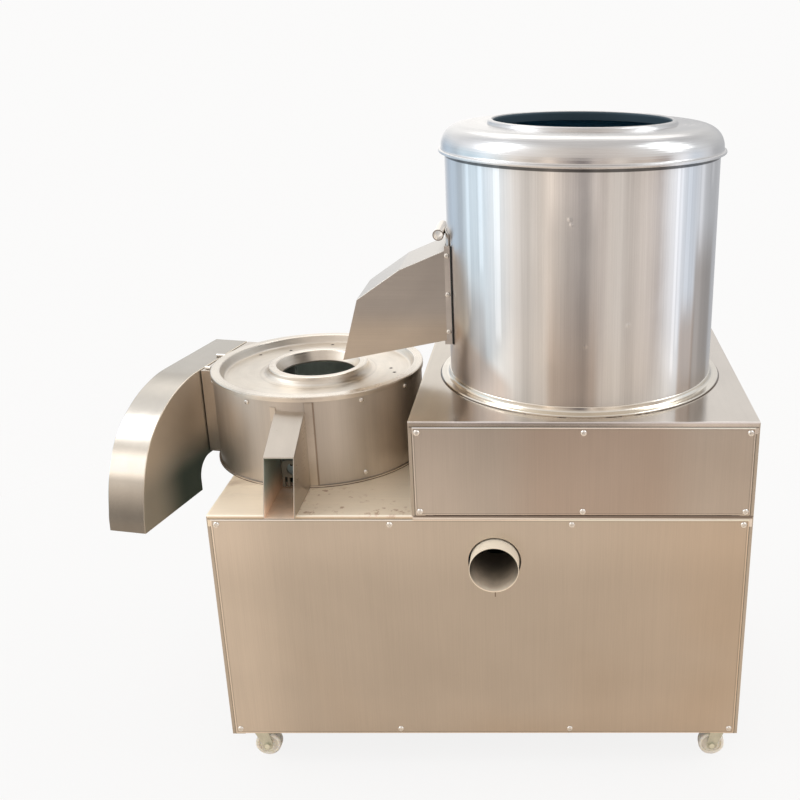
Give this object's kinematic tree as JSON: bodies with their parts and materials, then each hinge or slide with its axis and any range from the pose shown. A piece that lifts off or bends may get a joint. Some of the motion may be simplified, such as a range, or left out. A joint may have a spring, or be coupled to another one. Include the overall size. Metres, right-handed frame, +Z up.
{
  "type": "potato peeling and slicing machine",
  "caption": "Floor-standing peeler with a tall abrasive drum, lifting gate and discharge hood over a low slicing drum with chute and curved duct, on a folded steel cabinet with swivel casters.",
  "frame": {"origin": "on the floor, under the centre of the whole machine's box", "axes": "+Z up, +X from the slicing drum towards the peeling drum, -Y towards the operator and the drain pipe"},
  "size_m": [0.987, 0.53, 0.9818],
  "materials": {
    "cabinet_sheet": "brushed stainless sheet, vertical grain",
    "deck_sheet": "smooth stainless sheet",
    "frame_tube": "mill finish stainless square tube",
    "drum_sheet": "rolled stainless sheet, fine vertical grain",
    "polished_steel": "polished stainless steel",
    "satin_sheet": "satin stainless sheet with bright folds",
    "screw_steel": "bright stainless screws",
    "emery": "coarse dark abrasive grit on aluminium",
    "cast_aluminium": "cast and turned aluminium",
    "cast_iron": "machined cast iron",
    "ground_steel": "ground steel",
    "belt_rubber": "matt black rubber belt",
    "motor_paint": "blue grey enamel",
    "gland_nylon": "black nylon",
    "station_plate": "brushed plate with plated bezels",
    "green_cap": "green moulded cap",
    "red_cap": "red moulded cap",
    "plated_steel": "zinc plated pressed steel",
    "wheel_nylon": "white moulded nylon"
  },
  "bodies": {
    "machine": {"abrasive_liner": "emery", "bearing_housings": "cast_aluminium", "cable_gland": "gland_nylon", "caster_plates": "plated_steel", "chute_hood": "satin_sheet", "control_station": "station_plate", "drain_elbow": "polished_steel", "drain_pipe": "polished_steel", "drain_riser": "polished_steel", "drive_belts": "belt_rubber", "drive_motor": "motor_paint", "drum_base_flange": "polished_steel", "drum_floor": "drum_sheet", "drum_top_ring": "polished_steel", "drum_wall": "drum_sheet", "duct_pins": "screw_steel", "frame_tubes": "frame_tube", "lower_back_panel": "cabinet_sheet", "lower_deck": "deck_sheet", "lower_front_panel": "cabinet_sheet", "lower_side_left": "cabinet_sheet", "lower_side_right": "cabinet_sheet", "motor_plate": "frame_tube", "outlet_duct": "satin_sheet", "outlet_frame": "satin_sheet", "panel_screws": "screw_steel", "shaft_bearings": "ground_steel", "slicer_base_plate": "satin_sheet", "slicer_housing": "satin_sheet", "slicer_lid": "satin_sheet", "slicing_knife": "ground_steel", "small_screws": "screw_steel", "strip_chute": "satin_sheet", "strip_knife_holder": "ground_steel", "upper_back_panel": "cabinet_sheet", "upper_deck": "deck_sheet", "upper_front_panel": "cabinet_sheet", "upper_side_left": "cabinet_sheet", "upper_side_right": "cabinet_sheet", "water_inlet": "polished_steel"},
    "peeling_disc": {"abrasive_disc": "emery", "disc_shaft": "ground_steel", "disc_pulley": "cast_iron"},
    "slicing_rotor": {"slicer_impeller": "cast_aluminium", "slicer_shaft": "ground_steel", "slicer_pulley": "cast_iron"},
    "motor_rotor": {"motor_pulley": "cast_iron", "motor_shaft": "ground_steel"},
    "gate": {"discharge_gate": "satin_sheet", "gate_handle": "polished_steel"},
    "start_button": {"start_button": "green_cap"},
    "stop_button": {"stop_button": "red_cap"},
    "caster_fork_fl": {"caster_fork_fl": "plated_steel"},
    "caster_wheel_fl": {"caster_wheel_fl": "wheel_nylon"},
    "caster_fork_fr": {"caster_fork_fr": "plated_steel"},
    "caster_wheel_fr": {"caster_wheel_fr": "wheel_nylon"},
    "caster_fork_bl": {"caster_fork_bl": "plated_steel"},
    "caster_wheel_bl": {"caster_wheel_bl": "wheel_nylon"},
    "caster_fork_br": {"caster_fork_br": "plated_steel"},
    "caster_wheel_br": {"caster_wheel_br": "wheel_nylon"}
  },
  "joints": [
    {"name": "disc_spin", "type": "hinge", "parent": "machine", "child": "peeling_disc", "pos_m": [0.22549, 0.001, 0.6153], "axis": [0, 0, 1], "continuous": true},
    {"name": "rotor_spin", "type": "hinge", "parent": "machine", "child": "slicing_rotor", "pos_m": [-0.20451, 0.028, 0.4553], "axis": [0, 0, 1], "continuous": true},
    {"name": "motor_spin", "type": "hinge", "parent": "machine", "child": "motor_rotor", "pos_m": [0.00549, 0.111, 0.3653], "axis": [0, 0, 1], "continuous": true},
    {"name": "gate_lift", "type": "slide", "parent": "machine", "child": "gate", "axis": [0, 0, 1], "range_m": [0, 0.11]},
    {"name": "start_press", "type": "slide", "parent": "machine", "child": "start_button", "axis": [-1, 0, 0], "range_m": [0, 0.0035], "stiffness_N_per_m": 600},
    {"name": "stop_press", "type": "slide", "parent": "machine", "child": "stop_button", "axis": [-1, 0, 0], "range_m": [0, 0.0035], "stiffness_N_per_m": 600},
    {"name": "caster_swivel_fl", "type": "hinge", "parent": "machine", "child": "caster_fork_fl", "pos_m": [-0.28451, -0.211, 0.0463], "axis": [0, 0, 1], "continuous": true},
    {"name": "wheel_spin_fl", "type": "hinge", "parent": "caster_fork_fl", "child": "caster_wheel_fl", "pos_m": [-0.27651, -0.211, 0.0205], "axis": [0, 1, 0], "continuous": true},
    {"name": "caster_swivel_fr", "type": "hinge", "parent": "machine", "child": "caster_fork_fr", "pos_m": [0.44749, -0.211, 0.0463], "axis": [0, 0, 1], "continuous": true},
    {"name": "wheel_spin_fr", "type": "hinge", "parent": "caster_fork_fr", "child": "caster_wheel_fr", "pos_m": [0.43949, -0.211, 0.0205], "axis": [0, 1, 0], "continuous": true},
    {"name": "caster_swivel_bl", "type": "hinge", "parent": "machine", "child": "caster_fork_bl", "pos_m": [-0.28451, 0.213, 0.0463], "axis": [0, 0, 1], "continuous": true},
    {"name": "wheel_spin_bl", "type": "hinge", "parent": "caster_fork_bl", "child": "caster_wheel_bl", "pos_m": [-0.27651, 0.213, 0.0205], "axis": [0, 1, 0], "continuous": true},
    {"name": "caster_swivel_br", "type": "hinge", "parent": "machine", "child": "caster_fork_br", "pos_m": [0.44749, 0.213, 0.0463], "axis": [0, 0, 1], "continuous": true},
    {"name": "wheel_spin_br", "type": "hinge", "parent": "caster_fork_br", "child": "caster_wheel_br", "pos_m": [0.43949, 0.213, 0.0205], "axis": [0, 1, 0], "continuous": true}
  ],
  "couplings": [
    {"joint": "motor_spin", "follows": "disc_spin", "ratio": 3.5714},
    {"joint": "rotor_spin", "follows": "disc_spin", "ratio": 1.25}
  ]
}
